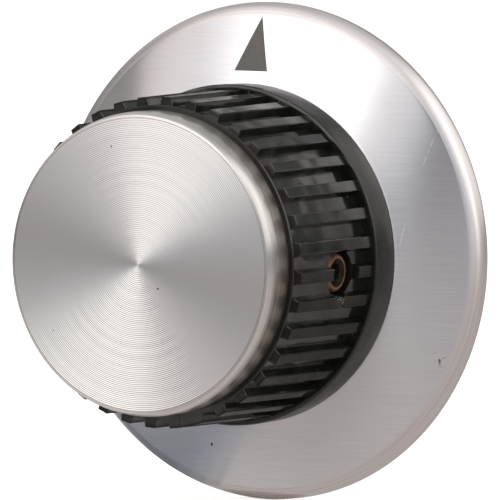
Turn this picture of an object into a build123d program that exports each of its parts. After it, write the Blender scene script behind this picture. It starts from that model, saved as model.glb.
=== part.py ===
from build123d import *
from math import asin, atan2, cos, degrees, hypot, radians, sin, tan
import os

# A pointer knob for a 1/4 in control shaft, in millimetres.
#
# Frame: the shaft axis is Y.  +Y goes into the panel, -Y comes out towards the user, +Z is
# up through the pointer and +X is to the user's right.  The origin is on the shaft axis,
# at the mouth of the bore, which is the hub's rear face.
#
# Depths are counted along the axis from the skirt's rim, which faces the panel, towards the
# user.  Angles about the axis are counted from +X towards +Z.

# ---- along the axis --------------------------------------------------------------------
hub_recess = 3.0         # hub's rear face stands this far in front of the rim, over a panel nut
seat_depth = 5.7         # collar's rear face, where the skirt lies
collar_length = 4.2      # smooth band behind the ribs
rib_length = 16.94       # from the collar to the shoulder
cap_depth = 4.6          # from the shoulder to the turned face

# ---- skirt: spun aluminium sheet -------------------------------------------------------
skirt_radius = 31.75
skirt_sheet = 0.8
rim_bend = 1.6           # outer radius where the edge is turned back
rim_flange = 0.16        # straight edge behind the bend
seat_margin = 0.65       # the flat seat ends this far inside the collar's edge

# ---- pointer: paint in a shallow recess of the skirt -----------------------------------
pointer_margin = 1.8     # from its tip to the skirt's edge
pointer_length = 6.85
pointer_width = 4.8
pointer_sink = 0.15      # depth of the recess, which the paint fills

# ---- body: one phenolic moulding -------------------------------------------------------
collar_radius = 21.55
collar_round = 0.3       # on the collar's front edge
rib_count = 36
rib_rear_radius = 20.98
rib_front_radius = 20.52
rib_height = 1.07
rib_rear_width = 1.46    # across the flat top
rib_front_width = 1.42
rib_flank = 0.22         # each flank leans out by this much from top to foot
rib_step = 0.15          # the ribs' front ends stand this far behind the shoulder
shoulder_break = 0.15    # chamfer on the shoulder's edge
spigot_radius = 17.2     # the skirt is pressed on it
spigot_length = 1.6
hub_radius = 9.7
well_radius = 15.5       # the moulding is cored out between the hub and this radius
well_floor = 21.8        # depth of the core's end
web_count = 4            # one of them carries the set screw
web_width = 1.8
web_recess = 2.0         # the plain webs stop this far inside the spigot's rear face
edge_break = 0.35        # chamfer on the hub, the spigot and the boss
press_gap = 0.02         # between pieces that are pressed together

# ---- shaft bush: brass, moulded in -----------------------------------------------------
bore_radius = 3.2
bore_length = 16.0
bush_radius = 6.35
bush_length = 19.0
groove_start = 3.5       # from the bush's rear face
groove_length = 3.0
groove_depth = 0.6       # the moulding fills it, so the bush can't pull out

# ---- set screw: hex socket, cup point --------------------------------------------------
screw_angle = -2.75      # where it stands
screw_depth = 16.1       # of its axis
screw_radius = 2.4
screw_length = 15.9
screw_end = 19.4         # outer end, from the shaft axis
screw_chamfer = 0.28
screw_hex = 2.4          # across flats
screw_socket = 3.0       # depth of the socket
cup_radius = 1.3
cup_depth = 0.8
screw_gap = 0.03         # around the screw in its tapped hole
screw_way = 2.95         # radius of the hole through the moulding
screw_wall = 1.8         # moulding left around that hole

# ---- cap: turned aluminium cup ---------------------------------------------------------
cap_radius = 18.82
cap_wall = 0.8
cap_round = 0.65         # on the edge of the face

# ---- for all pieces --------------------------------------------------------------------
round_steps = 3          # flat bands that a round is made of
overrun = 1.0            # a cutter reaches this far past what it cuts

# ---- what follows from them ------------------------------------------------------------
collar_front = seat_depth + collar_length
shoulder = collar_front + rib_length
cap_face = shoulder + cap_depth
boss_face = cap_face - cap_wall - press_gap
boss_radius = cap_radius - cap_wall - press_gap
seat_radius = collar_radius - seat_margin
bend_centre = skirt_radius - rim_bend
bend_reach = hypot(bend_centre - seat_radius, seat_depth - rim_flange)
bend_fall = atan2(seat_depth - rim_flange, bend_centre - seat_radius)
skirt_slope = degrees(bend_fall - asin(rim_bend / bend_reach))
pointer_tip = skirt_radius - pointer_margin
pointer_base = pointer_tip - pointer_length
spigot_rear = seat_depth - spigot_length


def y_at(depth):
    """Place on the Y axis of a depth counted from the rim."""
    return hub_recess - depth


def spun(points):
    """Solid of revolution about the shaft axis, from (radius, depth) points."""
    outline = Polyline([(radius, y_at(depth)) for radius, depth in points], close=True)
    return revolve(make_face(outline), Axis.Y)


def about_axis(shape, angle):
    """A shape made at +X, turned to its angle about the shaft axis."""
    return Rot(0, -angle, 0) * shape


def round_points(centre_radius, centre_depth, radius, turn=90):
    """Points of a round, from straight out and then turning towards the front."""
    steps = [radians(turn * index / round_steps) for index in range(round_steps + 1)]
    return [(centre_radius + radius * cos(a), centre_depth + radius * sin(a)) for a in steps]


def radial_rod(radius, start, end):
    """Rod along the set screw's axis, between two distances from the shaft axis."""
    foot = Plane(origin=(start, y_at(screw_depth), 0), x_dir=(0, 1, 0), z_dir=(1, 0, 0))
    rod = extrude(foot * Circle(radius), end - start)
    return about_axis(rod, screw_angle)


# ---- skirt and pointer -----------------------------------------------------------------
def dish(sink):
    """Solid dish under the skirt's front surface, lowered square to the sheet by sink."""
    seat = seat_depth - sink
    seat_edge = seat_radius - sink * tan(radians(skirt_slope) / 2)
    bend = round_points(bend_centre, rim_flange, rim_bend - sink, 90 - skirt_slope)
    return spun([(0, 0), (skirt_radius - sink, 0), *bend, (seat_edge, seat), (0, seat)])


def make_pointer():
    """Triangle that points up the skirt's cone, as thick as its recess is deep."""
    half = pointer_width / 2
    triangle = Polyline([(-half, pointer_base), (half, pointer_base), (0, pointer_tip)], close=True)
    across = Plane(origin=(0, y_at(0), 0), x_dir=(1, 0, 0), z_dir=(0, -1, 0))
    prism = extrude(across * make_face(triangle), seat_depth)
    return prism & (dish(0) - dish(pointer_sink))


def make_skirt():
    """Cone of sheet with a flat seat, its edge turned back towards the panel."""
    sheet = dish(0) - dish(skirt_sheet)
    hole = spigot_radius + press_gap
    top = seat_depth + overrun
    sheet -= spun([(0, 0), (hole, 0), (hole, top), (0, top)])
    return sheet - make_pointer()


# ---- shaft bush ------------------------------------------------------------------------
def bush_blank():
    """Outside of the bush, with its groove."""
    rear = hub_recess
    groove = rear + groove_start
    neck = bush_radius - groove_depth
    return spun([
        (0, rear),
        (bush_radius, rear),
        (bush_radius, groove),
        (neck, groove),
        (neck, groove + groove_length),
        (bush_radius, groove + groove_length),
        (bush_radius, rear + bush_length),
        (0, rear + bush_length),
    ])


def make_bush():
    end = hub_recess + bore_length
    bore = spun([(0, hub_recess), (bore_radius, hub_recess), (bore_radius, end), (0, end)])
    return bush_blank() - bore - radial_rod(screw_radius + screw_gap, 0, bush_radius + overrun)


# ---- body ------------------------------------------------------------------------------
def valley_radius(depth):
    """Radius of the floor between the ribs, which drafts in towards the front."""
    along = (depth - collar_front) / rib_length
    return rib_rear_radius - rib_height + along * (rib_front_radius - rib_rear_radius)


def rib_section(depth, top, width):
    """Section of a rib at +X, with a flat top and leaning flanks."""
    foot = valley_radius(depth) - rib_height
    half = width / 2
    lean = rib_flank / rib_height
    side = [(foot, half + lean * (top - foot)), (top, half)]
    other = [(radius, -offset) for radius, offset in reversed(side)]
    across = Plane(origin=(0, y_at(depth), 0), x_dir=(1, 0, 0), z_dir=(0, -1, 0))
    return across * make_face(Polyline(side + other, close=True))


def make_rib():
    """One rib, drafted towards the shoulder."""
    root = rib_section(collar_front - collar_round, rib_rear_radius, rib_rear_width)
    end = rib_section(shoulder - rib_step, rib_front_radius, rib_front_width)
    return loft([root, end], ruled=True)


def body_core():
    """Boss, shoulder, valley floor, collar and spigot, before the ribs are put on."""
    front = valley_radius(shoulder)
    inset = collar_radius - collar_round
    collar_edge = round_points(inset, collar_front - collar_round, collar_round)
    return spun([
        (0, boss_face),
        (boss_radius - edge_break, boss_face),
        (boss_radius, boss_face - edge_break),
        (boss_radius, shoulder),
        (front - shoulder_break, shoulder),
        (front, shoulder - shoulder_break),
        (valley_radius(collar_front), collar_front),
        *reversed(collar_edge),
        (collar_radius, seat_depth),
        (spigot_radius, seat_depth),
        (spigot_radius, spigot_rear + edge_break),
        (spigot_radius - edge_break, spigot_rear),
        (0, spigot_rear),
    ])


def make_hub():
    """Round hub around the bush, which stands out behind the spigot."""
    return spun([
        (0, well_floor),
        (hub_radius, well_floor),
        (hub_radius, hub_recess + edge_break),
        (hub_radius - edge_break, hub_recess),
        (0, hub_recess),
    ])


def make_web(width, rear):
    """Wall at +X from the hub to the outer wall, from the well's floor back to a depth."""
    length = well_floor - rear
    return Pos(well_radius / 2, y_at(rear + length / 2), 0) * Box(well_radius, length, width)


def make_well():
    """Ring that is cored out around the hub, less its webs and the screw's block."""
    ring = spun([
        (hub_radius, spigot_rear - overrun),
        (well_radius, spigot_rear - overrun),
        (well_radius, well_floor),
        (hub_radius, well_floor),
    ])
    for index in range(1, web_count):
        web = make_web(web_width, spigot_rear + web_recess)
        ring -= about_axis(web, screw_angle + index * 360 / web_count)
    block_radius = screw_way + screw_wall
    ring -= about_axis(make_web(2 * block_radius, screw_depth), screw_angle)
    return ring - radial_rod(block_radius, 0, collar_radius)


def make_body():
    rib = make_rib()
    step = 360 / rib_count
    ribs = [about_axis(rib, screw_angle + index * step) for index in range(rib_count)]
    body = body_core().fuse(*ribs)
    body = body + make_hub() - make_well()
    return body - bush_blank() - radial_rod(screw_way, bush_radius - overrun, skirt_radius)


# ---- set screw -------------------------------------------------------------------------
def make_set_screw():
    tip = screw_end - screw_length
    outline = Polyline([
        (tip + cup_depth, 0),
        (tip, cup_radius),
        (tip + screw_radius - cup_radius, screw_radius),
        (screw_end - screw_chamfer, screw_radius),
        (screw_end, screw_radius - screw_chamfer),
        (screw_end, 0),
    ], close=True)
    screw = revolve(make_face(outline), Axis.X)
    mouth = Plane(origin=(screw_end, 0, 0), x_dir=(0, 1, 0), z_dir=(1, 0, 0))
    hexagon = mouth * RegularPolygon(screw_hex / 2, 6, major_radius=False)
    screw -= extrude(hexagon, -screw_socket)
    return about_axis(Pos(0, y_at(screw_depth), 0) * screw, screw_angle)


# ---- cap -------------------------------------------------------------------------------
def make_cap():
    """Cup over the body's boss, its rear edge on the shoulder."""
    inner = cap_radius - cap_wall
    floor = cap_face - cap_wall
    edge = round_points(cap_radius - cap_round, cap_face - cap_round, cap_round)
    return spun([
        (0, floor),
        (inner, floor),
        (inner, shoulder),
        (cap_radius, shoulder),
        *edge,
        (0, cap_face),
    ])


os.makedirs("parts", exist_ok=True)
export_step(make_body(), "parts/knob_body.step")
export_step(make_bush(), "parts/shaft_bush.step")
export_step(make_set_screw(), "parts/set_screw.step")
export_step(make_cap(), "parts/cap.step")
export_step(make_skirt(), "parts/skirt.step")
export_step(make_pointer(), "parts/pointer_mark.step")
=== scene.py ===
# %% [markdown]
# # A pointer knob
#
# This knob turns a control shaft on an instrument panel.  Its grip is one black moulding
# with 36 ribs.  A turned aluminium cap covers the front of the grip.  Behind the grip lies
# a skirt of brushed aluminium sheet, with a dark triangle that points at the panel's scale.
#
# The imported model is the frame: every place comes from it, in metres.  +Y goes into the
# panel, +Z is up through the pointer, and +X is to the right of someone who faces the knob.

# %% Load the frame
import bmesh
import bpy
import math
from mathutils import Matrix, Vector


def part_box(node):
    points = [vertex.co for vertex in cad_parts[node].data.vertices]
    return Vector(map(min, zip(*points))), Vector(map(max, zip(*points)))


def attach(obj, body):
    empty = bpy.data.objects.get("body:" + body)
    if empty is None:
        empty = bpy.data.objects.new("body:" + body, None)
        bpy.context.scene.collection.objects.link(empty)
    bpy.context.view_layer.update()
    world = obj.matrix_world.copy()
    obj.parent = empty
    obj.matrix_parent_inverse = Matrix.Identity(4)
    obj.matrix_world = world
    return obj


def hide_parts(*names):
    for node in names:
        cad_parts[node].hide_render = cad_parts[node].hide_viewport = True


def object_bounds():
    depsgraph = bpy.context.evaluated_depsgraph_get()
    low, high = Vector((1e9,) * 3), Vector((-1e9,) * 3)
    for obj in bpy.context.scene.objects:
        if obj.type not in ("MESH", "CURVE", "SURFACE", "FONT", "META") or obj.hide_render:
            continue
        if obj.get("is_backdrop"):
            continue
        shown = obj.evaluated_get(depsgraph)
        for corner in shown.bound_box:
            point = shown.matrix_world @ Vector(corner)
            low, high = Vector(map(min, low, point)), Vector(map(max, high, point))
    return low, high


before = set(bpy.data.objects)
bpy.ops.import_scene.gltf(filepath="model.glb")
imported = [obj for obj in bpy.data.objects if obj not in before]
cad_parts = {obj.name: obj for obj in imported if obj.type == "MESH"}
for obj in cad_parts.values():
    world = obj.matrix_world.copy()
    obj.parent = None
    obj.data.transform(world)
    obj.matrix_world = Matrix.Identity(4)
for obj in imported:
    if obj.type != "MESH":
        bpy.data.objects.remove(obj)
cad_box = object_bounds()
print("nodes:", ", ".join(sorted(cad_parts)))

# %% [markdown]
# ## Sizes
#
# The places come from the boxes of the frame's own nodes.  Only what a box can't tell, such
# as the radius of a bend, is given here.  Pieces are modelled in millimetres and are
# scaled to metres when they are finished: some bmesh operators treat a distance of less
# than a few thousandths of a unit as nothing, and in metres a bevel is that small.

# %% Sizes
MM = 0.001
SAME = 0.001  # mm: points closer than this are one


def reach(node):
    """Outer radius of a round node, and its front and rear on the Y axis, in millimetres."""
    low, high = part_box(node)
    return high[2] / MM, low[1] / MM, high[1] / MM


CAP_RADIUS, CAP_FRONT, CAP_REAR = reach("cap")
SKIRT_RADIUS, SKIRT_SEAT, SKIRT_RIM = reach("skirt")
print("cap radius %.2f mm, skirt radius %.2f mm" % (CAP_RADIUS, SKIRT_RADIUS))

# %% [markdown]
# ## Helpers for making pieces
#
# A turned or spun part is a section that goes once round an axis, so one helper does that.
# The second finds a circle of edges by its radius and place, so that it can be bevelled.
# The third gives the points of a parabola, for rounds that start gently and then tighten.
# The fourth turns a bmesh into an object.  The last uses it for a finished piece, which
# rides on the knob and stands for its node in the frame.


# %% Helpers for pieces
def spin_profile(points, steps):
    """A line of (radius, y) points, turned once about the Y axis."""
    bm = bmesh.new()
    verts = [bm.verts.new((r, y, 0)) for r, y in points]
    edges = [bm.edges.new(pair) for pair in zip(verts, verts[1:])]
    bmesh.ops.spin(bm, geom=verts + edges, cent=(0, 0, 0), axis=(0, 1, 0),
                   angle=2 * math.pi, steps=steps, use_merge=True)
    bmesh.ops.remove_doubles(bm, verts=bm.verts, dist=SAME)
    bmesh.ops.recalc_face_normals(bm, faces=bm.faces)
    return bm


def loop_at(bm, radius, y):
    """The edges of the circle at a radius and a place on the axis."""
    def on_circle(v):
        return abs(math.hypot(v.co.x, v.co.z) - radius) < SAME and abs(v.co.y - y) < SAME
    return [e for e in bm.edges if all(on_circle(v) for v in e.verts)]


def parabola(start, corner, end, steps):
    """Points of a curve that leaves the line to the corner and joins the one after it."""
    points = []
    for step in range(1, steps + 1):
        t = step / steps
        points.append(start * (1 - t) ** 2 + corner * 2 * t * (1 - t) + end * t ** 2)
    return points


def to_object(bm, name):
    """The bmesh becomes an object in the scene."""
    mesh = bpy.data.meshes.new(name)
    bm.to_mesh(mesh)
    bm.free()
    made = bpy.data.objects.new(name, mesh)
    bpy.context.collection.objects.link(made)
    return made


def finish_piece(bm, name, node, smooth_angle=30):
    """A piece of the knob, scaled to metres, and smooth except where it turns sharply."""
    for face in bm.faces:
        face.smooth = True
    for e in bm.edges:
        e.smooth = e.smooth and e.calc_face_angle(0.0) < math.radians(smooth_angle)
    bmesh.ops.scale(bm, verts=bm.verts[:], vec=(MM, MM, MM))
    piece = to_object(bm, name)
    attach(piece, "root")
    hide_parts(node)
    print("%s: %d faces" % (name, len(piece.data.polygons)))
    return piece


# %% [markdown]
# ## The cap
#
# The real cap is a cup of thin aluminium, faced on a lathe.  A turned piece is a profile
# spun about its axis, so that is how it is made here.  Wear has given it a narrow slope
# round the face, and then a soft round on to the side.  The round's points come from a
# parabola rather than from a bevel, because it goes much further back along the side than
# it goes in, and a bevel is as deep as it is wide.
#
# The face and the slope share the first material slot.  The round and the side have their
# own, because their finish is another.  The face, the slope and the round meet in sharp
# lines, so the angle below which edges are smooth is small here.

# %% Cap
CAP_WALL = 0.8
CAP_INSIDE = 1.6  # from the face to the inside of the cup
FACE_RADIUS = 18.1
SLOPE_END = Vector((18.42, 0.08))  # its radius, and its depth behind the face
ROUND_CORNER = 0.85
ROUND_BACK = 2.1
ROUND_STEPS = 12
FOOT_BREAK = 0.08

front = Vector((0, CAP_FRONT))
worn_round = parabola(front + SLOPE_END, Vector((CAP_RADIUS, CAP_FRONT + ROUND_CORNER)),
                      Vector((CAP_RADIUS, CAP_FRONT + ROUND_BACK)), ROUND_STEPS)

# a loop half way out keeps the face from being slivers from the centre to its edge
cap_bm = spin_profile([
    (0, CAP_FRONT),
    (CAP_RADIUS / 2, CAP_FRONT),
    (FACE_RADIUS, CAP_FRONT),
    front + SLOPE_END,
    *worn_round,
    (CAP_RADIUS, CAP_REAR),
    (CAP_RADIUS - CAP_WALL, CAP_REAR),
    (CAP_RADIUS - CAP_WALL, CAP_FRONT + CAP_INSIDE),
    (0, CAP_FRONT + CAP_INSIDE),
], steps=288)
bmesh.ops.bevel(cap_bm, geom=loop_at(cap_bm, CAP_RADIUS, CAP_REAR), offset=FOOT_BREAK,
                affect="EDGES", segments=2, profile=0.5, material=-1)
for face in cap_bm.faces:
    middle = face.calc_center_median()
    if math.hypot(middle.x, middle.z) > SLOPE_END.x:
        face.material_index = 1 if middle.y < CAP_FRONT + ROUND_BACK else 2
cap = finish_piece(cap_bm, "turned_cap", "cap", smooth_angle=8)

# %% [markdown]
# ## The skirt
#
# The skirt is spun from flat sheet over a former: a flat seat under the grip, a cone with a
# slight crown, and an edge that is turned back towards the panel.  The section of the
# sheet, front and back, is one closed line.
#
# A roller turns the edge back, and its bend starts gently and tightens towards the rim.
# A parabola does that, so the outer bend is one, from a formula.  The inner bend is hardly
# seen, and a bevel of the spun corner is enough for it.

# %% Skirt
SHEET = 0.8
SEAT_HOLE = 17.22
SEAT_EDGE = 20.9
RIM_BEND = 1.6
RIM_FLANGE = 0.16
BEND_RUN = 2.0
BEND_STEPS = 12
BEND_CLEAR = 0.2  # the cone's points stop this far before the bend; its finish goes past it
CROWN = 0.16
CONE_STEPS = 12

bend_centre = Vector((SKIRT_RADIUS - RIM_BEND, SKIRT_RIM - RIM_FLANGE))
to_bend = bend_centre - Vector((SEAT_EDGE, SKIRT_SEAT))
slope = math.atan2(to_bend.y, to_bend.x) - math.asin(RIM_BEND / to_bend.length)
print("the cone falls by %.1f degrees" % math.degrees(slope))


def cone_line(sink):
    """Points down the cone, on the front surface or sunk below it by part of the sheet."""
    start = Vector((SEAT_EDGE - sink * math.tan(slope / 2), SKIRT_SEAT + sink))
    run = SKIRT_RADIUS - sink - start.x
    points = []
    for step in range(CONE_STEPS + 1):
        part = step / CONE_STEPS
        crown = CROWN * math.sin(math.pi * part)
        points.append((start.x + run * part, start.y + run * part * math.tan(slope) - crown))
    return points


front_line, back_line = cone_line(0), cone_line(SHEET)
corner, before = Vector(front_line[-1]), Vector(front_line[-2])
bend_start = corner + (before - corner).normalized() * BEND_RUN
bend_end = Vector((SKIRT_RADIUS, SKIRT_RIM - RIM_FLANGE))
front_line = [p for p in front_line if p[0] < bend_start.x - BEND_CLEAR] + [tuple(bend_start)]
skirt_bm = spin_profile([
    (SEAT_HOLE, SKIRT_SEAT),
    *front_line,
    *parabola(bend_start, corner, bend_end, BEND_STEPS),
    (SKIRT_RADIUS, SKIRT_RIM),
    (SKIRT_RADIUS - SHEET, SKIRT_RIM),
    *reversed(back_line),
    (SEAT_HOLE, SKIRT_SEAT + SHEET),
    (SEAT_HOLE, SKIRT_SEAT),
], steps=384)
bmesh.ops.bevel(skirt_bm, geom=loop_at(skirt_bm, *back_line[-1]), affect="EDGES", segments=6,
                offset=(RIM_BEND - SHEET) * math.tan(math.radians(45) - slope / 2),
                profile=0.5, material=-1)
print("the bend starts at a radius of %.2f mm" % bend_start.x)
for face in skirt_bm.faces:
    middle = face.calc_center_median()
    in_bend = math.hypot(middle.x, middle.z) > bend_start.x + BEND_CLEAR
    face.material_index = 1 if in_bend else 0
skirt = finish_piece(skirt_bm, "spun_skirt", "skirt")

# %% [markdown]
# ## The pointer
#
# The triangle is paint that fills a shallow recess in the skirt.  It lies on the cone, so
# a flat triangle is cut into small ones, and each point is laid down on the cone, a hair
# proud of it.  The walls go back into the sheet, where their open edge can't be seen.

# %% Pointer
PAINT_STEP = 0.015
PAINT_WALL = 0.1
PAINT_CUTS = 15

pointer_low, pointer_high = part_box("pointer_mark")
pointer_tip, pointer_base = pointer_high[2] / MM, pointer_low[2] / MM
pointer_half = pointer_high[0] / MM


def cone_y(radius):
    """Place on the Y axis of the cone's front at a radius."""
    part = (radius - SEAT_EDGE) / (SKIRT_RADIUS - SEAT_EDGE)
    fall = (radius - SEAT_EDGE) * math.tan(slope)
    return SKIRT_SEAT + fall - CROWN * math.sin(math.pi * part)


pointer_bm = bmesh.new()
corners = [(-pointer_half, 0, pointer_base), (pointer_half, 0, pointer_base), (0, 0, pointer_tip)]
pointer_bm.faces.new([pointer_bm.verts.new(c) for c in corners])
bmesh.ops.subdivide_edges(pointer_bm, edges=pointer_bm.edges[:], cuts=PAINT_CUTS,
                          use_grid_fill=True)
bmesh.ops.triangulate(pointer_bm, faces=pointer_bm.faces[:])
for v in pointer_bm.verts:
    v.co.y = cone_y(math.hypot(v.co.x, v.co.z)) - PAINT_STEP
if sum(f.normal.y for f in pointer_bm.faces) > 0:
    bmesh.ops.reverse_faces(pointer_bm, faces=pointer_bm.faces[:])
outline = [e for e in pointer_bm.edges if e.is_boundary]
walls = bmesh.ops.extrude_edge_only(pointer_bm, edges=outline)["geom"]
bmesh.ops.translate(pointer_bm, verts=[v for v in walls if isinstance(v, bmesh.types.BMVert)],
                    vec=(0, PAINT_WALL, 0))
bmesh.ops.recalc_face_normals(pointer_bm, faces=pointer_bm.faces[:])
pointer = finish_piece(pointer_bm, "painted_pointer", "pointer_mark")

# %% [markdown]
# ## The grip
#
# The moulding's shape is already right in the frame: ribs, collar, hub and the hollow
# behind them.  No moulding has perfectly sharp edges, and the thin highlights along its
# ribs are what makes it look moulded.  So a copy of the node's mesh is merged, its flat
# faces are made whole again, and bmesh bevels the edges of the ribs.
#
# Only the edges that stand out from the floor between the ribs are taken, because the
# other edges already have their chamfers in the frame.  The border of each bevel stays
# sharp, so that the shading of the flat faces beside it isn't drawn into the round.

# %% Grip
EDGE_BREAK = 0.11
RIB_FRONT, RIB_REAR = -23.7, -6.9
HALF_HEIGHT = (19.9, 20.4)  # radius half way up a rib, at its front and at its rear
OUTER_HALF = 0.8  # takes in the ribs' tops, but not the collar
END_SLACK = 0.01  # share of a rib's length
GRIP_MERGE = 0.0005
FLAT, CREASE = math.radians(0.3), math.radians(30)


def stands_out(v):
    """Whether a corner belongs to the outer half of a rib."""
    part = (v.co.y - RIB_FRONT) / (RIB_REAR - RIB_FRONT)
    middle = HALF_HEIGHT[0] + (HALF_HEIGHT[1] - HALF_HEIGHT[0]) * part
    on_rib = -END_SLACK < part < 1 + END_SLACK
    return on_rib and middle < math.hypot(v.co.x, v.co.z) < middle + OUTER_HALF


grip_bm = bmesh.new()
grip_bm.from_mesh(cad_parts["knob_body"].data)
bmesh.ops.scale(grip_bm, verts=grip_bm.verts[:], vec=(1 / MM, 1 / MM, 1 / MM))
bmesh.ops.remove_doubles(grip_bm, verts=grip_bm.verts, dist=GRIP_MERGE)
bmesh.ops.dissolve_limit(grip_bm, angle_limit=FLAT, verts=grip_bm.verts[:],
                         edges=grip_bm.edges[:])
rib_edges = [e for e in grip_bm.edges
             if e.is_convex and e.calc_face_angle(0.0) > CREASE
             and any(stands_out(v) for v in e.verts)]
print("edges of the ribs:", len(rib_edges))
broken = bmesh.ops.bevel(grip_bm, geom=rib_edges, offset=EDGE_BREAK, affect="EDGES",
                         segments=3, profile=0.5, material=-1)
rounds = set(broken["faces"])
for e in grip_bm.edges:
    e.smooth = sum(face in rounds for face in e.link_faces) != 1
grip = finish_piece(grip_bm, "moulded_grip", "knob_body", smooth_angle=24)

# %% [markdown]
# ## The set screw
#
# The screw looks out of a hole in the grip, where a rib would stand.  It is a spun piece as
# well: a chamfered end, a narrow flat ring, a lead-in and the socket for a key.  The socket
# is round at first, and then the points of its loops are pushed out on to a hexagon.
#
# It is spun about the Y axis like the others, with its end at zero, and then one matrix
# turns it on to the screw's own axis.

# %% Set screw
SCREW_CHAMFER = 0.28
SCREW_RING = 1.8
SOCKET_FLATS = 2.4
SOCKET_DEPTH = 3.0
SOCKET_SPUN = 1.0  # radius of the socket before it is a hexagon
SIXTH = math.radians(60)
LEAD_IN = 0.35

screw_low, screw_high = (Vector(v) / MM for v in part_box("set_screw"))
screw_middle = (screw_low + screw_high) / 2
screw_tilt = math.atan2(screw_middle.z, screw_middle.x)
out = Vector((math.cos(screw_tilt), 0, math.sin(screw_tilt)))
screw_radius = (screw_high.y - screw_low.y) / 2
screw_end = (screw_high.x - screw_radius * abs(out.z)) / out.x
screw_length = screw_end - (screw_low.x + screw_radius * abs(out.z)) / out.x
print("set screw: radius %.2f, end at %.2f, length %.2f mm"
      % (screw_radius, screw_end, screw_length))

screw_bm = spin_profile([
    (0, SOCKET_DEPTH),
    (SOCKET_SPUN, SOCKET_DEPTH),
    (SOCKET_SPUN, LEAD_IN),
    (SCREW_RING, 0),
    (screw_radius - SCREW_CHAMFER, 0),
    (screw_radius, SCREW_CHAMFER),
    (screw_radius, screw_length),
    (0, screw_length),
], steps=48)
for v in screw_bm.verts:
    if abs(math.hypot(v.co.x, v.co.z) - SOCKET_SPUN) < SAME:
        off_flat = math.atan2(v.co.z, v.co.x) % SIXTH - SIXTH / 2
        v.co.xz *= SOCKET_FLATS / 2 / math.cos(off_flat) / SOCKET_SPUN
for face in screw_bm.faces:
    middle = face.calc_center_median()
    in_socket = math.hypot(middle.x, middle.z) < SCREW_RING and middle.y < screw_length / 2
    face.material_index = 1 if in_socket else 0
across = out.cross(Vector((0, 1, 0)))
place = Matrix((across, -out, Vector((0, 1, 0)))).transposed().to_4x4()
place = Matrix.Translation(Vector((0, screw_middle.y, 0)) + out * screw_end) @ place
bmesh.ops.transform(screw_bm, verts=screw_bm.verts[:], matrix=place)
bmesh.ops.recalc_face_normals(screw_bm, faces=screw_bm.faces[:])
screw = finish_piece(screw_bm, "socket_screw", "set_screw")

# %% [markdown]
# ## Helpers for materials
#
# Colours are written as sRGB hex values, as a colour picker shows them, and one function
# turns them linear.  A second adds a node with its settings and links, so that a material
# reads as a short list of steps.  The other two open an empty material and hand the
# finished one to its pieces.  The settings that come back most often have names.


# %% Helpers for materials
TIMES, PLUS = {"operation": "MULTIPLY"}, {"operation": "ADD"}
BELOW, SINE = {"operation": "LESS_THAN"}, {"operation": "SINE"}
EASED, MIXED = {"interpolation_type": "SMOOTHSTEP"}, {"data_type": "RGBA"}


def colour(hex_value):
    """A linear colour from an sRGB hex value."""
    parts = [int(hex_value[i:i + 2], 16) / 255 for i in (1, 3, 5)]
    return tuple(c / 12.92 if c <= 0.04045 else ((c + 0.055) / 1.055) ** 2.4 for c in parts) + (1,)


def add(owner, kind, settings=None, *values, **named):
    """A node with its settings.  Values fill its inputs from the top, or by name.

    A value is a number, a hex colour, a socket, or a node, whose first output is used.
    """
    tree = owner.node_tree
    node = tree.nodes.new("ShaderNode" + kind)
    for key, value in (settings or {}).items():
        setattr(node, key, value)
    filled = list(zip((socket for socket in node.inputs if socket.enabled), values))
    filled += [(node.inputs[key.replace("_", " ")], value) for key, value in named.items()]
    for socket, value in filled:
        if isinstance(value, str):
            value = colour(value)
        if isinstance(value, bpy.types.Node):
            value = next(output for output in value.outputs if output.enabled)
        if isinstance(value, bpy.types.NodeSocket):
            tree.links.new(value, socket)
        else:
            socket.default_value = value
    return node


def new_material(name):
    """A material without any nodes yet."""
    material = bpy.data.materials.new(name)
    material.use_nodes = True
    material.node_tree.nodes.clear()
    return material


def finish_material(material, shader, *pieces):
    """Link the shader to the output, and give each piece the material as its next slot."""
    add(material, "OutputMaterial", Surface=shader)
    for piece in pieces:
        piece.data.materials.append(material)
    print("material:", material.name)


# %% [markdown]
# ## Helpers for patterns
#
# Patterns follow Object coordinates, scaled to millimetres, so every size in them can be
# checked against the real thing.  Most of this knob is round, so its patterns often need
# the distance from the axis and the angle about it.  Fine lines are a noise that is drawn
# out along one axis.


# %% Helpers for patterns
def in_mm(material):
    """Object coordinates in millimetres."""
    place = add(material, "TexCoord").outputs["Object"]
    return add(material, "VectorMath", {"operation": "SCALE"}, place, 1 / MM)


def round_axis(material):
    """Radius and y in millimetres, and the angle in radians, about the knob's axis."""
    x, y, z = add(material, "SeparateXYZ", None, in_mm(material)).outputs
    flat = add(material, "CombineXYZ", X=x, Z=z)
    radius = add(material, "VectorMath", {"operation": "LENGTH"}, flat)
    angle = add(material, "Math", {"operation": "ARCTAN2"}, z, x)
    return radius, y, angle


def unrolled(material, radius, depth, angle):
    """The cap's side rolled out flat, in millimetres, so that a pattern can run round it."""
    girth = add(material, "Math", TIMES, angle, CAP_RADIUS)
    return add(material, "CombineXYZ", X=girth, Y=depth, Z=radius)


def fine_lines(material, place, length, width, detail):
    """A noise in lines along the first axis, with their length and width in millimetres."""
    drawn = add(material, "VectorMath", TIMES, place, (1 / length, 1 / width, 1 / width))
    return add(material, "TexNoise", Vector=drawn, Scale=1.0, Detail=detail)


# %% [markdown]
# ## Helpers for marks
#
# Use has left two kinds of marks.  Specks are small spots of dust or corrosion, which a
# Voronoi texture strews about: it gives the distance from the nearest of many points, and
# a colour of its own for each.  Scratches, nicks and pits are short straight lines, so each
# is a box round the line between its two ends.


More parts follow.
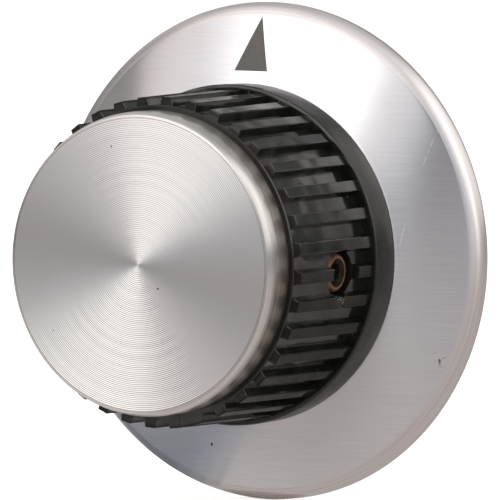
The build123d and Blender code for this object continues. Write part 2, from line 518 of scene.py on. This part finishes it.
# %% Helpers for marks
def specks(material, spacing, radius, share):
    """A mask of round specks, in millimetres: a share of the cells of a grid hold one."""
    cells = add(material, "TexVoronoi", Vector=in_mm(material), Scale=1 / spacing)
    spot = add(material, "Math", BELOW, cells, radius / spacing)
    red = add(material, "SeparateColor", None, cells.outputs["Color"])
    some = add(material, "Math", BELOW, red, share)
    return add(material, "Math", TIMES, spot, some)


def scratches(material, lines):
    """A mask of straight scratches, each given by its ends as (x, z) and its width in mm."""
    x, _, z = add(material, "SeparateXYZ", None, in_mm(material)).outputs
    front = add(material, "CombineXYZ", X=x, Y=z)
    mask = 0.0
    for start, end, width in lines:
        start, end = Vector((*start, 0)), Vector((*end, 0))
        along = (end - start).normalized()
        across = Vector((-along.y, along.x, 0))
        off = add(material, "VectorMath", {"operation": "SUBTRACT"}, front, (start + end) / 2)
        far = add(material, "VectorMath", {"operation": "DOT_PRODUCT"}, off, along)
        wide = add(material, "VectorMath", {"operation": "DOT_PRODUCT"}, off, across)
        half = (end - start).length / 2
        in_length = add(material, "Math", {"operation": "COMPARE"}, far, 0, half)
        in_width = add(material, "Math", {"operation": "COMPARE"}, wide, 0, width / 2)
        line = add(material, "Math", TIMES, in_length, in_width)
        mask = add(material, "Math", {"operation": "MAXIMUM"}, mask, line)
    return mask


# %% [markdown]
# ## Turned aluminium, for the cap's face
#
# A facing tool leaves one continuous groove.  Each groove runs round the axis, so it
# spreads a reflection across itself and keeps it sharp along itself.  Anisotropy does
# just that: a radial Tangent node gives the direction of the grooves, and bright fans
# appear that turn with the viewer.  In Blender the highlight is stretched along the
# tangent, so a quarter turn of Anisotropic Rotation puts it across the grooves.
#
# The groove itself is wide enough to see, so a sine of the radius paints it into the colour:
# painted light on its crests and painted shade in its bottoms.

# %% Turned aluminium
GROOVE = 0.233

turned = new_material("turned_aluminium")
radius, _, angle = round_axis(turned)
turns = add(turned, "Math", TIMES, radius, 2 * math.pi / GROOVE)
wave = add(turned, "Math", SINE, turns)
wave = add(turned, "MapRange", EASED, wave, -1, 1)
# the tool chatters, so about three turns together cut deeper than the next
chatter = add(turned, "TexNoise", {"noise_dimensions": "1D"}, W=turns, Scale=0.05, Detail=2.0)
chatter = add(turned, "MapRange", EASED, chatter, 0.3, 0.7, 0.8, 1.0)
# the grooves' light and shade are painted into the colour
groove_shade = add(turned, "Math", TIMES, wave, chatter)

# %% [markdown]
# ### Where its rings show
#
# Above and below the centre the grooves lie across the light and show well.  At the sides
# they lie along it and vanish, so the painted rings of light and shade fade there.  They stop
# at the worn slope, which is the same metal, only darker, and one painted dark line, the shade
# of a deeper groove, marks where they end.

# %% Where its rings show
FADE_TURN = math.radians(12)  # how far the line on which they vanish is turned from level
LAST_LINE = 0.1

crossing = add(turned, "Math", PLUS, angle, FADE_TURN)
crossing = add(turned, "Math", SINE, crossing)
shown = add(turned, "Math", {"operation": "ABSOLUTE"}, crossing)
shown = add(turned, "MapRange", EASED, shown, 0.6, 0.8)
# the painted rings of light and shade are stronger in the lower half
strength = add(turned, "MapRange", EASED, crossing, -0.3, 0.3, 1.0, 0.6)
shown = add(turned, "Math", TIMES, shown, strength)
on_face = add(turned, "Math", BELOW, radius, FACE_RADIUS)
shown = add(turned, "Math", TIMES, shown, on_face)
# painted shade: the deeper last groove is a dark line in the colour
last_line_shade = add(turned, "Math", {"operation": "COMPARE"}, radius, FACE_RADIUS, LAST_LINE / 2)

# %% [markdown]
# ### Its colour and shine
#
# The bare metal is nearly white, and the bottoms of its grooves are painted grey, as painted
# shade.  The face has a few small dark pits, and handling has dulled it in soft patches, about 8
# mm across.

# %% Its colour and shine
PITS = [
    ((-4.1, 14.4), (-3.9, 14.4), 0.20),
    ((2.8, -2.8), (3.05, -2.8), 0.22),
    ((-12.3, -8.7), (-12.15, -8.7), 0.15),
]

# painted light and shade of the rings: white crests, grey bottoms
ring_light_and_shade = add(turned, "Mix", MIXED, groove_shade, "#fdfcfb", "#9f9e9d")
plain_colour = add(turned, "Mix", MIXED, on_face, "#c9c5c3", "#dad9d8")
face_colour = add(turned, "Mix", MIXED, shown, plain_colour, ring_light_and_shade)
face_colour = add(turned, "Mix", MIXED, last_line_shade, face_colour, "#b0aaa6")
face_colour = add(turned, "Mix", MIXED, scratches(turned, PITS), face_colour, "#55524f")
handled = add(turned, "TexNoise", Vector=in_mm(turned), Scale=0.12, Detail=3.0)
roughness = add(turned, "MapRange", EASED, handled, 0.35, 0.65, 0.32, 0.36)
around = add(turned, "Tangent", {"direction_type": "RADIAL", "axis": "Y"})
metal = add(turned, "BsdfPrincipled", Base_Color=face_colour, Metallic=1.0, Roughness=roughness,
            Anisotropic=0.95, Anisotropic_Rotation=0.25, Tangent=around)
finish_material(turned, metal, cap)

# %% [markdown]
# ## Burnished aluminium, for the rounded edges
#
# The edge of the cap is rubbed smooth by hands, with an even shine and faint lines that run
# along the edge.  Towards the side it is painted darker, as painted shade, except at the upper
# right, where the light falls.  The roller that turned the skirt's edge back has pressed
# its brush lines flat, but it isn't polished: that edge is the same metal, only rougher and
# a little grey.  One function makes both.

# %% Burnished aluminium
# the colour of the painted shade on the cap's round and side
PAINTED_SHADE = "#857f79"
LIGHT_ON_CAP = 60  # degrees from +X towards +Z
ROUND_SHADE = (CAP_FRONT + 0.44, CAP_FRONT + 1.84)  # where it starts, and where it is full
RUBBED_LINES = (10, 1 / 3)  # their length and width in mm


def toward_side(material, angle, middle):
    """One in the middle of a side given in degrees, and less beside it: on the cap the side where
    the light falls, on the ribs the side a thumb wipes clean.
    """
    aside = add(material, "Math", {"operation": "SUBTRACT"}, angle, math.radians(middle))
    return add(material, "Math", {"operation": "COSINE"}, aside)


def rubbed(name, light, dark, smoothest, roughest, shaded=False):
    """Metal with faint lines that run round the knob's axis."""
    material = new_material(name)
    radius, depth, angle = round_axis(material)
    side = unrolled(material, radius, depth, angle)
    lines = fine_lines(material, side, *RUBBED_LINES, 3.0)
    share = add(material, "MapRange", EASED, lines, 0.35, 0.65)
    tone = add(material, "Mix", MIXED, share, light, dark)
    # painted shade: darker towards the side, except at the upper right, where the light falls
    if shaded:
        shade_share = add(material, "MapRange", EASED, depth, *ROUND_SHADE)
        on_side = toward_side(material, angle, LIGHT_ON_CAP)
        shade_kept = add(material, "MapRange", EASED, on_side, 0.35, 0.75, 1, 0)
        shade_share = add(material, "Math", TIMES, shade_share, shade_kept)
        tone = add(material, "Mix", MIXED, shade_share, tone, PAINTED_SHADE)
    rough = add(material, "MapRange", EASED, lines, 0.35, 0.65, smoothest, roughest)
    metal = add(material, "BsdfPrincipled", Base_Color=tone, Metallic=1.0, Roughness=rough)
    return material, metal


finish_material(*rubbed("burnished_aluminium", "#e6e4e3", "#d6d3d1", 0.27, 0.35, shaded=True), cap)
rolled_edge = rubbed("rolled_aluminium", "#dedada", "#d2cdcd", 0.34, 0.38)

# %% [markdown]
# ## Worn aluminium, for the cap's side
#
# Fingers and rags have dulled the side.  It has no clear grain left, so it is an even,
# rougher metal, with cloudy patches and faint lines that run round the cap.  Its foot, next
# to the grip, is painted darker as painted shade, a little less at the upper right, where the
# light falls.

# %% Worn aluminium
CLOUDS_PER_MM = 1.3  # each is about 0.8 mm wide
WORN_LINES = (12.5, 1 / 2.2)  # their length and width in mm
SIDE_SHADE = (CAP_FRONT + 0.24, CAP_FRONT + 3.24)

worn = new_material("worn_aluminium")
radius, depth, angle = round_axis(worn)
side = unrolled(worn, radius, depth, angle)
clouds = add(worn, "TexNoise", Vector=side, Scale=CLOUDS_PER_MM, Detail=5.0, Roughness=0.7)
cloudy = add(worn, "MapRange", EASED, clouds, 0.35, 0.65)
worn_colour = add(worn, "Mix", MIXED, cloudy, "#dedad6", "#c2bcb6")
lines = fine_lines(worn, side, *WORN_LINES, 4.0)
lines = add(worn, "MapRange", EASED, lines, 0.55, 0.7, 0, 0.3)
worn_colour = add(worn, "Mix", MIXED, lines, worn_colour, "#97918a")
# painted shade: darker at the foot next to the grip, a little less where the light falls
shade_share = add(worn, "MapRange", EASED, depth, *SIDE_SHADE)
on_side = toward_side(worn, angle, LIGHT_ON_CAP)
shade_kept = add(worn, "MapRange", EASED, on_side, 0.35, 0.75, 1, 0.75)
shade_share = add(worn, "Math", TIMES, shade_share, shade_kept)
worn_colour = add(worn, "Mix", MIXED, shade_share, worn_colour, PAINTED_SHADE)
roughness = add(worn, "MapRange", EASED, clouds, 0.35, 0.65, 0.42, 0.50)
dents = add(worn, "Bump", Strength=0.05, Distance=0.02 * MM, Height=clouds)
metal = add(worn, "BsdfPrincipled", Base_Color=worn_colour, Metallic=1.0, Normal=dents,
            Roughness=roughness)
finish_material(worn, metal, cap)

# %% [markdown]
# ## Brushed aluminium, for the skirt
#
# The sheet was brushed in one direction before it was spun, from side to side.  Its
# scratches therefore stay straight while the skirt is round, which is why the tangent is a
# plain vector along X.  Reflections stretch upwards and downwards from what they show.
#
# The brush lines are a little coarser than real ones, or they would vanish at this size.
# Broad, faint bands lie under them, where the brush pressed harder.

# %% Brushed aluminium
BRUSH_LINES = (6, 0.12)  # length and width in mm
BRUSH_BANDS = (100, 2)

brushed = new_material("brushed_aluminium")
# y is left out, because the sheet was still flat when it was brushed
flat = add(brushed, "VectorMath", TIMES, in_mm(brushed), (1, 0, 1))
strokes = fine_lines(brushed, flat, *BRUSH_LINES, 0.0)
light_stroke = add(brushed, "MapRange", EASED, strokes, 0.25, 0.75)
sheet_colour = add(brushed, "Mix", MIXED, light_stroke, "#dbdadc", "#e2e1e2")
bands = fine_lines(brushed, flat, *BRUSH_BANDS, 2.0)
bands = add(brushed, "MapRange", EASED, bands, 0.4, 0.7, 0, 0.06)
sheet_colour = add(brushed, "Mix", MIXED, bands, sheet_colour, "#bdbbbd")

# %% [markdown]
# ### Its scratches and nicks
#
# The scratches are real, and they are painted lighter, as a painted highlight of the light their
# walls catch; each is broken where the tool skipped.  Nicks, the one deep pit and the specks are
# dark, because dirt has filled them.

# %% Its scratches and nicks
SCRATCHES = [
    ((25.4, 16.4), (24.2, 12.0), 0.14),
    ((22.6, 4.6), (22.1, 2.0), 0.10),
]
NICKS = [
    ((26.1, 16.0), (26.5, 15.1), 0.30),
    ((26.4, -12.2), (26.5, -13.3), 0.28),
    ((26.8, -12.1), (27.2, -12.0), 0.20),
]
DEEP_PIT = [((-5.65, -24.6), (-5.72, -25.0), 0.26)]
SKIP = 2 / 3

skips = add(brushed, "TexNoise", Vector=in_mm(brushed), Scale=1 / SKIP)
skips = add(brushed, "MapRange", EASED, skips, 0.35, 0.6, 0.1, 1.0)
# painted highlight: the scratches are painted lighter for the light they catch
scratch_glint = add(brushed, "Math", TIMES, scratches(brushed, SCRATCHES), skips)
sheet_colour = add(brushed, "Mix", MIXED, scratch_glint, sheet_colour, "#fbfafb")
dark = add(brushed, "Math", TIMES, scratches(brushed, NICKS), skips)
sheet_colour = add(brushed, "Mix", MIXED, dark, sheet_colour, "#7c7a80")
pit = scratches(brushed, DEEP_PIT)
sheet_colour = add(brushed, "Mix", MIXED, pit, sheet_colour, "#262422")
spots = specks(brushed, spacing=4.0, radius=0.13, share=0.3)
sheet_colour = add(brushed, "Mix", MIXED, spots, sheet_colour, "#5a5754")

# %% Its shine
roughness = add(brushed, "MapRange", EASED, strokes, 0.3, 0.7, 0.29, 0.31)
# one tangent for the whole skirt
across = add(brushed, "CombineXYZ", X=1.0, Y=0.0, Z=0.0)
metal = add(brushed, "BsdfPrincipled", Base_Color=sheet_colour, Metallic=1.0,
            Roughness=roughness, Anisotropic=1.0, Anisotropic_Rotation=0.25, Tangent=across)
finish_material(brushed, metal, skirt)
finish_material(*rolled_edge, skirt)

# %% [markdown]
# ## Moulded phenolic, for the grip
#
# Phenolic comes out of a polished mould, so it is glossy and nearly black.  Years of use
# leave fine dust and dull smears on it, and the mouth of the screw's hole is chipped where
# a key has slipped.

# %% Moulded phenolic
CHIPS = Vector((20.6, screw_middle.y - 0.4, screw_low.z - 0.6))
CHIPPED = (0.3, 2.0)  # all chips, and none, this far from their middle
FLAKE = 1 / 3
SMEARS_PER_MM = 0.35  # each is about 3 mm wide

phenolic = new_material("moulded_phenolic")
where = in_mm(phenolic)
smears = add(phenolic, "TexNoise", Vector=where, Scale=SMEARS_PER_MM, Detail=4.0, Roughness=0.6)
smeared = add(phenolic, "MapRange", EASED, smears, 0.4, 0.7)
black = add(phenolic, "Mix", MIXED, smeared, "#121310", "#1b1c18")
dust = specks(phenolic, spacing=1.2, radius=0.06, share=0.3)
black = add(phenolic, "Mix", MIXED, dust, black, "#8a867e")
off = add(phenolic, "VectorMath", {"operation": "DISTANCE"}, where, CHIPS)
near = add(phenolic, "MapRange", EASED, off, *CHIPPED, 1, 0)
flakes = add(phenolic, "TexNoise", Vector=where, Scale=1 / FLAKE, Detail=5.0, Roughness=0.8)
flakes = add(phenolic, "MapRange", EASED, flakes, 0.54, 0.6)
chips = add(phenolic, "Math", TIMES, near, flakes)
black = add(phenolic, "Mix", MIXED, chips, black, "#8d857a")

# %% [markdown]
# ### Its skin
#
# The collar is rubbed dull, and the chips are rough.  Thick walls shrink as the moulding
# cools, so its faces have sunk in shallow waves of about 7 mm, which draw what they reflect
# out of shape.  On top of that lies a fine grain, the mould's own finish.

# %% Its skin
GRAIN = 0.25
COLLAR_SIDE = (21.2, 21.5)  # radius where the dull collar starts, and where it is full

radius, _, angle = round_axis(phenolic)
shine = add(phenolic, "MapRange", EASED, smears, 0.35, 0.7, 0.1, 0.2)
collar = add(phenolic, "MapRange", EASED, radius, *COLLAR_SIDE, 0, 0.14)
shine = add(phenolic, "Math", PLUS, shine, collar)
shine = add(phenolic, "Math", {"operation": "ADD", "use_clamp": True}, shine, chips)
shrunk = add(phenolic, "TexNoise", Vector=where, Scale=0.14, Detail=1.0)
sunk = add(phenolic, "Bump", Strength=1.0, Distance=0.5 * MM, Height=shrunk)
grain = add(phenolic, "TexNoise", Vector=where, Scale=1 / GRAIN, Detail=3.0)
orange_peel = add(phenolic, "Bump", Strength=0.1, Distance=0.01 * MM, Height=grain, Normal=sunk)
skin = add(phenolic, "BsdfPrincipled", Base_Color=black, Roughness=shine, IOR=1.5,
           Normal=orange_peel)

# %% [markdown]
# ### The film on its ribs
#
# A dull film lies on the ribs' tops.  The thumb wipes it away at the upper right, so the
# ribs still shine there.  A film scatters light and hides some of the gloss below it, which
# is a diffuse shader mixed over the glossy one.

# %% The film on its ribs
FILM = 0.55
THUMB_ON_RIBS = 37  # degrees from +X towards +Z
RIB_TOPS = (20.1, 20.4)  # radius where the film starts, and where it is full
COLLAR_EDGE = (21.1, 21.3)  # radius where it fades, and where it has ended

on_tops = add(phenolic, "MapRange", EASED, radius, *RIB_TOPS)
before_collar = add(phenolic, "MapRange", EASED, radius, *COLLAR_EDGE, 1, 0)
on_side = toward_side(phenolic, angle, THUMB_ON_RIBS)
film = add(phenolic, "MapRange", EASED, on_side, 0.73, 0.88, FILM, 0)
film = add(phenolic, "Math", TIMES, film, on_tops)
film = add(phenolic, "Math", TIMES, film, before_collar)
dull = add(phenolic, "BsdfDiffuse", Color=black, Normal=orange_peel)
finish_material(phenolic, add(phenolic, "MixShader", None, film, skin, dull), grip)

# %% [markdown]
# ## Paint, for the pointer
#
# The paint is a dark grey that has dulled evenly, with a fine unevenness from the brush.

# %% Pointer paint
MOTTLE = 0.4

paint = new_material("pointer_paint")
mottle = add(paint, "TexNoise", Vector=in_mm(paint), Scale=1 / MOTTLE, Detail=4.0)
mottled = add(paint, "MapRange", EASED, mottle, 0.35, 0.65)
paint_colour = add(paint, "Mix", MIXED, mottled, "#484643", "#504e4b")
uneven = add(paint, "Bump", Strength=0.15, Distance=0.02 * MM, Height=mottle)
skin = add(paint, "BsdfPrincipled", Base_Color=paint_colour, Roughness=0.5, Normal=uneven)
finish_material(paint, skin, pointer)

# %% [markdown]
# ## Rusted steel, for the set screw
#
# The screw was blackened steel.  Rust breaks its shine, so metal and rust alternate by a
# noise: where the noise is high, the surface is brown, rough and no metal at all.  The
# socket is painted nearly black and dull, as painted shade in its recess.

# %% Rusted steel
RUST = 0.625
LUMP = 0.5

rusted = new_material("rusted_steel")
rust = add(rusted, "TexNoise", Vector=in_mm(rusted), Scale=1 / RUST, Detail=5.0, Roughness=0.7)
rust_share = add(rusted, "MapRange", EASED, rust, 0.4, 0.6)
steel_colour = add(rusted, "Mix", MIXED, rust_share, "#5f5046", "#6b4a31")
bare = add(rusted, "MapRange", EASED, rust, 0.4, 0.6, 0.8, 0.0)
roughness = add(rusted, "MapRange", EASED, rust, 0.4, 0.6, 0.4, 0.75)
crust = add(rusted, "Bump", Strength=0.4, Distance=0.03 * MM, Height=rust)
skin = add(rusted, "BsdfPrincipled", Base_Color=steel_colour, Metallic=bare,
           Roughness=roughness, Normal=crust)
finish_material(rusted, skin, screw)

# painted shade: the socket's recess is painted nearly black
socket_shade = new_material("painted_socket_shade")
shade_lumps = add(socket_shade, "TexNoise", Vector=in_mm(socket_shade), Scale=1 / LUMP, Detail=4.0)
shade_lumps = add(socket_shade, "MapRange", EASED, shade_lumps, 0.35, 0.65)
socket_shade_colour = add(socket_shade, "Mix", MIXED, shade_lumps, "#1a1914", "#2a2820")
finish_material(socket_shade, add(socket_shade, "BsdfDiffuse", Color=socket_shade_colour), screw)

# %% [markdown]
# ## Turned brass, for the bush
#
# The bush that takes the shaft is turned from brass rod and has tarnished a little.  It is
# seen from behind.  Its grain runs round the axis, as on the cap.

# %% Turned brass
TOOL_MARK = 1 / 6

brass = new_material("turned_brass")
radius, depth, _ = round_axis(brass)
section = add(brass, "CombineXYZ", X=radius, Y=depth)
cut = add(brass, "TexNoise", {"noise_dimensions": "2D"}, Vector=section, Scale=1 / TOOL_MARK,
          Detail=2.0)
cut = add(brass, "MapRange", EASED, cut, 0.3, 0.7)
brass_colour = add(brass, "Mix", MIXED, cut, "#b8944f", "#d3b371")
around = add(brass, "Tangent", {"direction_type": "RADIAL", "axis": "Y"})
metal = add(brass, "BsdfPrincipled", Base_Color=brass_colour, Metallic=1.0, Roughness=0.3,
            Anisotropic=0.6, Anisotropic_Rotation=0.25, Tangent=around)
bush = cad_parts["shaft_bush"]
bush.data.materials.clear()
finish_material(brass, metal, bush)

# %% [markdown]
# ## The studio: floor
#
# The studio is in metres.  A pale floor carries the knob's soft shadow.  To the camera it
# glows a little, so that it ends in the white of the background without any more light on
# the knob.

# %% Floor
FLOOR_SIZE = 10
FLOOR_GLOW = 0.6
UP = Vector((0, 0, 1))


def flat_sheet(name, place, facing, width, height):
    """A flat rectangle that faces a direction."""
    bm = bmesh.new()
    bmesh.ops.create_grid(bm, x_segments=1, y_segments=1, size=0.5)
    bmesh.ops.scale(bm, verts=bm.verts[:], vec=(width, height, 1))
    turn = facing.to_track_quat("Z", "Y").to_matrix().to_4x4()
    bmesh.ops.transform(bm, verts=bm.verts[:], matrix=Matrix.Translation(place) @ turn)
    return to_object(bm, name)


floor = flat_sheet("floor", Vector((0, 0, cad_box[0][2])), UP, FLOOR_SIZE, FLOOR_SIZE)
floor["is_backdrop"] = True

pale = new_material("pale_floor")
rays = add(pale, "LightPath").outputs
lift = add(pale, "Math", TIMES, rays["Is Camera Ray"], FLOOR_GLOW)
skin = add(pale, "BsdfDiffuse", Color="#e9e4e0")
glow = add(pale, "Emission", Color="#ffffff", Strength=lift)
finish_material(pale, add(pale, "AddShader", None, skin, glow), floor)

# %% [markdown]
# ## The studio: background
#
# The world is white to the camera and in reflections, and lights the scene with less.

# %% Background
ROOM_LIGHT = 0.7

world = bpy.data.worlds.new("studio")
bpy.context.scene.world = world
world.use_nodes = True
world.node_tree.nodes.clear()
rays = add(world, "LightPath").outputs
seen = rays["Is Camera Ray"]
for way in ("Is Glossy Ray", "Is Transmission Ray"):
    seen = add(world, "Math", {"operation": "MAXIMUM"}, seen, rays[way])
light = add(world, "Background", Color="#ffffff", Strength=ROOM_LIGHT)
white = add(world, "Background", Color="#ffffff", Strength=1.0)
add(world, "OutputWorld", Surface=add(world, "MixShader", None, seen, light, white))

# %% [markdown]
# ## The studio: lamps
#
# Metal has hardly a colour of its own: it shows what stands round it.  In front, to the
# left and above, hang a key softbox and a wide one, which make the bright fans on the cap
# and the bright top of the skirt.  A weaker and wider one stands just behind the key, so
# that the key's reflection fades at its edge.  The last, to the right, draws a thin bright
# line on every rounded edge.


# %% Lamps
def direction(azimuth, elevation):
    """The way to something, with azimuth 0 in front of the knob and 90 to the right."""
    a, e = math.radians(azimuth), math.radians(elevation)
    return Vector((math.sin(a) * math.cos(e), -math.cos(a) * math.cos(e), math.sin(e)))


def softbox(name, azimuth, elevation, distance, width, height, radiance, hue):
    """A rectangular lamp that faces the knob and looks as bright as its radiance."""
    lamp = bpy.data.lights.new(name, "AREA")
    lamp.shape = "RECTANGLE"
    lamp.size, lamp.size_y = width, height
    lamp.energy = radiance * math.pi * width * height
    lamp.color = colour(hue)[:3]
    box = bpy.data.objects.new(name, lamp)
    box.location = direction(azimuth, elevation) * distance
    box.rotation_euler = box.location.to_track_quat("Z", "Y").to_euler()
    bpy.context.collection.objects.link(box)
    print("%s: %.2f W" % (name, lamp.energy))


softbox("key_softbox", -19.5, 24, 0.9, 0.56, 0.50, 1.2, "#fffbf5")
softbox("key_fringe", -22, 24, 0.91, 0.70, 0.50, 0.4, "#fffbf5")
softbox("wide_softbox", -28, 30, 1.0, 1.42, 1.0, 0.95, "#fff5f0")
softbox("side_softbox", 95, 37, 0.9, 2.2, 0.95, 1.05, "#fffaf5")

# %% [markdown]
# ## The studio: cards
#
# A white room would leave the metal flat, so plain cards stand round the knob.  Only
# polished surfaces see them, and they take no light from the floor or from the camera.
# The walls are greys that differ from side to side.  A narrow dark flag draws the dark
# band at the right of the skirt, and a small pale card the lighter one beside it.  A high
# card brightens the skirt's upper edge.  The two cards at the rear show in the ribs.


# %% Cards
def card(name, place, facing, width, height, hue):
    """A plain card that only polished surfaces see."""
    sheet = flat_sheet(name, place, facing, width, height)
    matt = new_material(name)
    finish_material(matt, add(matt, "Emission", Color=hue, Strength=1.0), sheet)
    sheet.visible_camera = False
    sheet.visible_diffuse = False
    sheet.visible_shadow = False
    sheet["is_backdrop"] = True


def wall(name, azimuth, elevation, distance, width, height, hue):
    """A card that faces the knob from a direction."""
    place = direction(azimuth, elevation) * distance
    card(name, place, place, width, height, hue)


wall("left_wall", -100, 5, 1.15, 2.3, 2.3, "#8a8889")
wall("front_wall", -10, 0, 1.3, 2.6, 2.5, "#7b8d9b")
wall("right_wall", 108, 5, 1.15, 1.6, 2.3, "#4a4a4c")
wall("back_wall", 180, 5, 1.25, 2.4, 2.5, "#8a8a8a")
wall("left_rear_card", -130, 40, 1.1, 1.6, 1.0, "#c0bfbd")
wall("right_rear_card", 165, 40, 1.1, 1.6, 1.0, "#a09e9c")
wall("dark_flag", 19, 15, 1.05, 0.18, 1.9, "#484850")
wall("pale_card", 22, 2, 1.03, 0.26, 0.25, "#dbd8e4")
wall("high_card", -10, 66, 1.12, 1.7, 0.5, "#f2f1f0")
wall("ceiling", -30, 88, 1.25, 2.6, 2.6, "#cfcfce")

# %% [markdown]
# ## The studio: cards on the floor
#
# Two cards cover the floor, a little above it, and would hide the knob's shadow from the
# metal.  So four small ones lie on them, each darker and narrower than the last, as a
# shadow that is deepest under the knob.  A dark strip that stands on edge deepens the line
# between two fans at the left of the cap.

# %% Cards on the floor
OVER_FLOOR = 1 * MM

on_floor = cad_box[0][2] + OVER_FLOOR
card("left_sheet", Vector((-0.62, -0.605, on_floor)), UP, 1.22, 0.99, "#b6b0ae")
card("right_sheet", Vector((0.6, -0.15, on_floor)), UP, 1.22, 1.5, "#c4bdba")
card("dark_strip", Vector((-0.44, 0, on_floor + 0.02)), Vector((-1, 0, 0)), 0.5, 0.04, "#202020")

# %% Cards for the shadow
SHADES = ("#aaa7a8", "#96989d", "#868a93", "#7b8089")
SHADE_PLACE = Vector((-29, -12, 0)) * MM
SHADE_WIDTH, SHADE_DEPTH = 46 * MM, 36 * MM
NARROWER = 6.5 * MM
NEXT_LAYER = Vector((0.75, 0, 0.3)) * MM

for layer, hue in enumerate(SHADES):
    place = Vector((0, 0, on_floor + NEXT_LAYER.z)) + SHADE_PLACE + NEXT_LAYER * layer
    card("shade_%d" % layer, place, UP, SHADE_WIDTH - NARROWER * layer, SHADE_DEPTH, hue)

# %% [markdown]
# ## The camera
#
# The camera stands to the right, a little above the knob, and looks back at it.  A long
# lens from some distance keeps the two round faces from looking too different in size.

# %% Camera
AZIMUTH, ELEVATION, ROLL = 30.71, 4.01, 0.64  # degrees
DISTANCE = 702.7 * MM
AIM = Vector((-2.7, 3.0, 0.0)) * MM
LENS, SENSOR = 396, 36  # millimetres, as Blender counts them

camera_data = bpy.data.cameras.new("camera")
camera_data.lens, camera_data.sensor_width = LENS, SENSOR
camera_data.clip_start, camera_data.clip_end = 0.01, 10
camera = bpy.data.objects.new("camera", camera_data)
bpy.context.collection.objects.link(camera)
back = direction(AZIMUTH, ELEVATION)
right = direction(AZIMUTH + 90, 0)
axes = Matrix((right, back.cross(right), back)).transposed()
lean = Matrix.Rotation(math.radians(ROLL), 3, "Z")
camera.matrix_world = Matrix.Translation(AIM + back * DISTANCE) @ (axes @ lean).to_4x4()
bpy.context.scene.camera = camera
bpy.context.scene.view_settings.view_transform = "Standard"
print("camera at", tuple(round(c, 4) for c in camera.location))

# %% [markdown]
# ## The boxes
#
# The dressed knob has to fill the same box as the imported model.  Both boxes are kept, and
# the largest gap between them is printed.

# %% Boxes
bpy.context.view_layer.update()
gaps = [abs(a - b) for cad, visual in zip(cad_box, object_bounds()) for a, b in zip(cad, visual)]
print("the boxes differ by %.4f mm at most" % (max(gaps) / MM))
